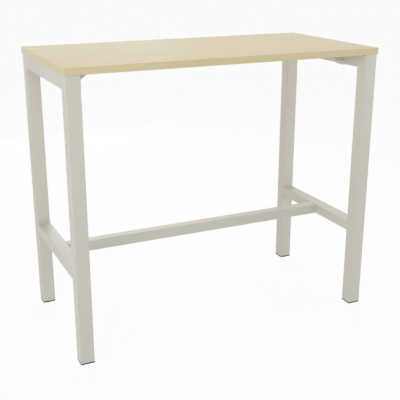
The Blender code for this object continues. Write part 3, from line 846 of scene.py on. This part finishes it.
def build_tubes():
    """Legs, top rails, foot rails and the footrest bar as rounded square tube, closed up at their welds."""
    rail_low, rail_high = span("left_top_rail")
    width = rail_high[0] - rail_low[0]
    rail_middle = rail_high[2] - width / 2
    for corner, along in CORNERS:
        name = corner + "_leg"
        low, high = span(name)
        centre = ((low[0] + high[0]) / 2, (low[1] + high[1]) / 2, 0.0)
        add_tube(name, centre, "Z", width, width, (low[2], 0, 0), (rail_middle, 0, along))
    leg_y = far_side("rear_left_leg", 1) - width / 2
    reach = leg_y - width / 2
    for side, _ in SIDES:
        name = side + "_top_rail"
        low, high = span(name)
        x = (low[0] + high[0]) / 2
        add_tube(name, (x, 0.0, rail_middle), "Y", width, width, (-leg_y, -1, 0), (leg_y, 1, 0))
        name = side + "_foot_rail"
        low, high = span(name)
        height = high[2] - low[2]
        middle = (high[2] + low[2]) / 2
        add_tube(name, (x, 0.0, middle), "Y", height, width, (-reach, 0, 0), (reach, 0, 0))
    name = "footrest_bar"
    low, high = span(name)
    size = high - low
    middle = (low[2] + high[2]) / 2
    add_tube(name, (0.0, 0.0, middle), "X", size[1], size[2], (low[0], 0, 0), (high[0], 0, 0))


def add_bracket_screws(corner):
    """The two screws that go up through a bracket into the board."""
    for number in ("1", "2"):
        name = f"{corner}_bracket_screw_{number}"
        low, high = span(name)
        middle = (low + high) / 2
        place = (middle[0], middle[1], low[2] + SCREW_HEAD_HEIGHT)
        screw = pan_screw(place, high[2] - place[2], (high[0] - low[0]) / 2)
        add_piece(
            f"{corner}_pan_screw_{number}",
            [screw],
            zinc_finish,
            stands_for=(name,),
            sharp_degrees=TURNED_SHARP,
        )


def build_brackets():
    """Folded brackets under the top, each with its two screws."""
    for side, across in SIDES:
        rail_face = near_side(side + "_top_rail", 0)
        for end, along in ENDS:
            corner = f"{end}_{side}"
            name = corner + "_top_bracket"
            low, high = span(name)
            seat = (across * rail_face, along * far_side(name, 1), high[2])
            reach = rail_face - near_side(name, 0)
            drop = high[2] - low[2]
            flange = high[1] - low[1]
            hand = across * along
            patches = [
                folded_bracket(seat, across, hand, reach, flange),
                bracket_leaf(seat, across, hand, drop, flange),
            ]
            add_piece(corner + "_folded_bracket", patches, frame_paint, stands_for=(name,))
            add_bracket_screws(corner)


def rail_welds(side, along):
    """Welds at one end of an end frame's rails.

    Beads lie above and below the foot rail and inside the mitre, and the foot rail's sides are ground.
    """
    low, high = span(side + "_top_rail")
    foot_low, foot_high = span(side + "_foot_rail")
    under = high[2] - (high[0] - low[0])
    y = along * near_side(f"front_{side}_leg", 1)
    x_low, x_high = low[0] + TUBE_CORNER, high[0] - TUBE_CORNER
    z_low, z_high = foot_low[2] + TUBE_CORNER, foot_high[2] - TUBE_CORNER
    inward = (0.0, -along, 0.0)
    welds = []
    for z, up in ((foot_high[2], 1.0), (foot_low[2], -1.0), (under, -1.0)):
        welds.append(weld_bead((x_low, y, z), (x_high, y, z), inward, (0.0, 0.0, up)))
    for x, out in ((low[0], -1), (high[0], 1)):
        welds.append(ground_weld(x, y, out, -along, z_low, z_high))
    return welds


def bracket_welds(bracket, face, across, along):
    """Upright beads at the two edges of a bracket, against the inner face of its top rail."""
    low, high = span(bracket)
    web = far_side(bracket, 1)
    far = web - (high[1] - low[1])
    bottom = low[2] + BRACKET_CORNER
    top = high[2] - PLATE - 2 * PLATE_BEND
    inward = (-across, 0.0, 0.0)
    welds = []
    for y, out in ((along * web, along), (along * far, -along)):
        start, end = (face, y, bottom), (face, y, top)
        welds.append(weld_bead(start, end, inward, (0.0, out, 0.0), BRACKET_WELD))
    return welds


def build_welds():
    """Weld beads of each end frame: foot rails to legs, mitres inside, brackets to top rails."""
    for side, across in SIDES:
        face = across * near_side(side + "_top_rail", 0)
        patches = []
        for end, along in ENDS:
            patches += rail_welds(side, along)
            patches += bracket_welds(f"{end}_{side}_top_bracket", face, across, along)
        add_piece(side + "_frame_welds", patches, frame_paint, sharp_degrees=WELD_SHARP)


def build_plugs():
    """Domed plugs over the key holes in the foot rails' outer faces."""
    for side, across in SIDES:
        name = side + "_rail_plug"
        low, high = span(name)
        face = far_side(side + "_foot_rail", 0)
        profile = plug_profile((high[2] - low[2]) / 2, far_side(name, 0) - face, face - near_side(name, 0))
        centre = (across * face, 0.0, (low[2] + high[2]) / 2)
        add_piece(
            side + "_rail_cap",
            [turned(profile, centre, "X", across)],
            plug_finish,
            stands_for=(name,),
            sharp_degrees=TURNED_SHARP,
        )


def build_glides():
    """Levelling glides: a threaded stem and a round pad on each glide's own body."""
    for corner, _ in CORNERS:
        body = corner + "_glide"
        pad = corner + "_glide_pad"
        stem = corner + "_glide_stem"
        low, high = span(pad)
        stem_low, stem_high = span(stem)
        radius = (stem_high[0] - stem_low[0]) / 2
        centre = ((low[0] + high[0]) / 2, (low[1] + high[1]) / 2, 0.0)
        foot = turned(pad_profile((high[0] - low[0]) / 2, high[2], radius, stem_low[2]), centre)
        thread = threaded_stem(centre, stem_low[2], stem_high[2], radius)
        name = corner + "_glide_foot"
        add_piece(name, [foot], black_finish, body, (pad,), TURNED_SHARP)
        name = corner + "_threaded_stem"
        add_piece(name, [thread], zinc_finish, body, (stem,), THREAD_SHARP)


def dress_cad_nodes():
    """Finishes for the CAD nodes that keep their own shape."""
    finishes = {"tabletop_board": board_finish}
    for side, _ in SIDES:
        finishes[side + "_bar_end_plate"] = zinc_finish
        finishes[side + "_bar_bolt"] = zinc_finish
    for corner, _ in CORNERS:
        finishes[corner + "_foot_insert"] = black_finish
        finishes[corner + "_glide_nut"] = zinc_finish
    for name, finish in finishes.items():
        for slot in nodes[name].material_slots:
            slot.material = finish


build_top()
build_tubes()
build_brackets()
build_welds()
build_plugs()
build_glides()
dress_cad_nodes()


# Studio

FLOOR_HALF = 30.0
FLOOR_COLOUR = (0.92, 0.92, 0.91, 1.0)
FLOOR_CLEARNESS = 0.95
WORLD_COLOUR = (1.0, 0.99, 0.97, 1.0)
WORLD_LEVEL = 0.3
WHITE = (1.0, 1.0, 1.0, 1.0)
AIM_HEIGHT = 0.6
SOFTBOX_DISTANCE = 3.2
TOP_SOFTBOX_DISTANCE = 2.6
SOFTBOX_WIDTH = 2.4
SOFTBOX_HEIGHT = 1.6


def background_ray(tree):
    """One for rays that should see the white background: from the camera, off gloss or through glass."""
    path = tree.nodes.new("ShaderNodeLightPath")
    seen = arithmetic(tree, "MAXIMUM", path.outputs["Is Camera Ray"], path.outputs["Is Glossy Ray"])
    return arithmetic(tree, "MAXIMUM", seen, path.outputs["Is Transmission Ray"])


def mix_by_ray(tree, share, lit, seen, output):
    """Mix two shaders by what kind of ray meets them, into a tree's output node."""
    mixed = node(tree, "ShaderNodeMixShader", Fac=share, _1=lit.outputs[0], _2=seen.outputs[0])
    tree.links.new(mixed.outputs[0], tree.nodes[output].inputs["Surface"])


def build_floor():
    """Pale floor; the camera sees mostly white through it, so that only a faint shadow stays."""
    half = FLOOR_HALF
    corners = [(-half, -half, 0.0), (half, -half, 0.0), (half, half, 0.0), (-half, half, 0.0)]
    mesh = bpy.data.meshes.new("studio_floor")
    mesh.from_pydata(corners, [], [(0, 1, 2, 3)])
    floor = bpy.data.objects.new("studio_floor", mesh)
    bpy.context.scene.collection.objects.link(floor)
    material = bpy.data.materials.new("pale_floor")
    material.use_nodes = True
    tree = material.node_tree
    tree.nodes.remove(tree.nodes["Principled BSDF"])
    pale = node(tree, "ShaderNodeBsdfDiffuse", Color=FLOOR_COLOUR)
    clear = tree.nodes.new("ShaderNodeBsdfTransparent")
    share = arithmetic(tree, "MULTIPLY", background_ray(tree), FLOOR_CLEARNESS)
    mix_by_ray(tree, share, pale, clear, "Material Output")
    mesh.materials.append(material)


def build_world():
    """White for the rays that see the background, soft even light for the rest."""
    world = bpy.data.worlds.new("studio")
    bpy.context.scene.world = world
    world.use_nodes = True
    tree = world.node_tree
    soft = tree.nodes["Background"]
    soft.inputs["Color"].default_value = WORLD_COLOUR
    soft.inputs["Strength"].default_value = WORLD_LEVEL
    white = node(tree, "ShaderNodeBackground", Color=WHITE, Strength=1.0)
    mix_by_ray(tree, background_ray(tree), soft, white, "World Output")


def add_softbox(name, azimuth, elevation, power, distance=SOFTBOX_DISTANCE):
    """Large soft area light facing the table; azimuth goes from the front towards the left, in degrees."""
    azimuth, elevation = math.radians(azimuth), math.radians(elevation)
    level = distance * math.cos(elevation)
    height = AIM_HEIGHT + distance * math.sin(elevation)
    light = bpy.data.lights.new(name, "AREA")
    light.shape = "RECTANGLE"
    light.size = SOFTBOX_WIDTH
    light.size_y = SOFTBOX_HEIGHT
    light.energy = power
    box = bpy.data.objects.new(name, light)
    box.location = (-level * math.sin(azimuth), -level * math.cos(azimuth), height)
    box.rotation_euler = (QUARTER_TURN - elevation, 0.0, -azimuth)
    box.visible_camera = False
    bpy.context.scene.collection.objects.link(box)


def build_camera():
    """Camera at the picture's place and angle."""
    camera_data = bpy.data.cameras.new("camera")
    camera_data.sensor_width = SENSOR_WIDTH
    camera_data.lens = CAMERA_LENS
    camera = bpy.data.objects.new("camera", camera_data)
    camera.location = CAMERA_PLACE
    camera.rotation_euler = (QUARTER_TURN + CAMERA_PITCH, 0.0, CAMERA_YAW)
    bpy.context.scene.collection.objects.link(camera)
    bpy.context.scene.camera = camera


build_floor()
build_world()
add_softbox("front_softbox", azimuth=30.0, elevation=40.0, power=17.5)
add_softbox("left_softbox", azimuth=60.0, elevation=8.0, power=26.5)
add_softbox("right_softbox", azimuth=-60.0, elevation=8.0, power=25.0)
add_softbox("rear_right_softbox", azimuth=-150.0, elevation=40.0, power=28.5)
add_softbox("rear_softbox", azimuth=180.0, elevation=8.0, power=22.5)
add_softbox("top_softbox", azimuth=0.0, elevation=90.0, power=12.0, distance=TOP_SOFTBOX_DISTANCE)
build_camera()
bpy.context.scene.view_settings.view_transform = "Standard"
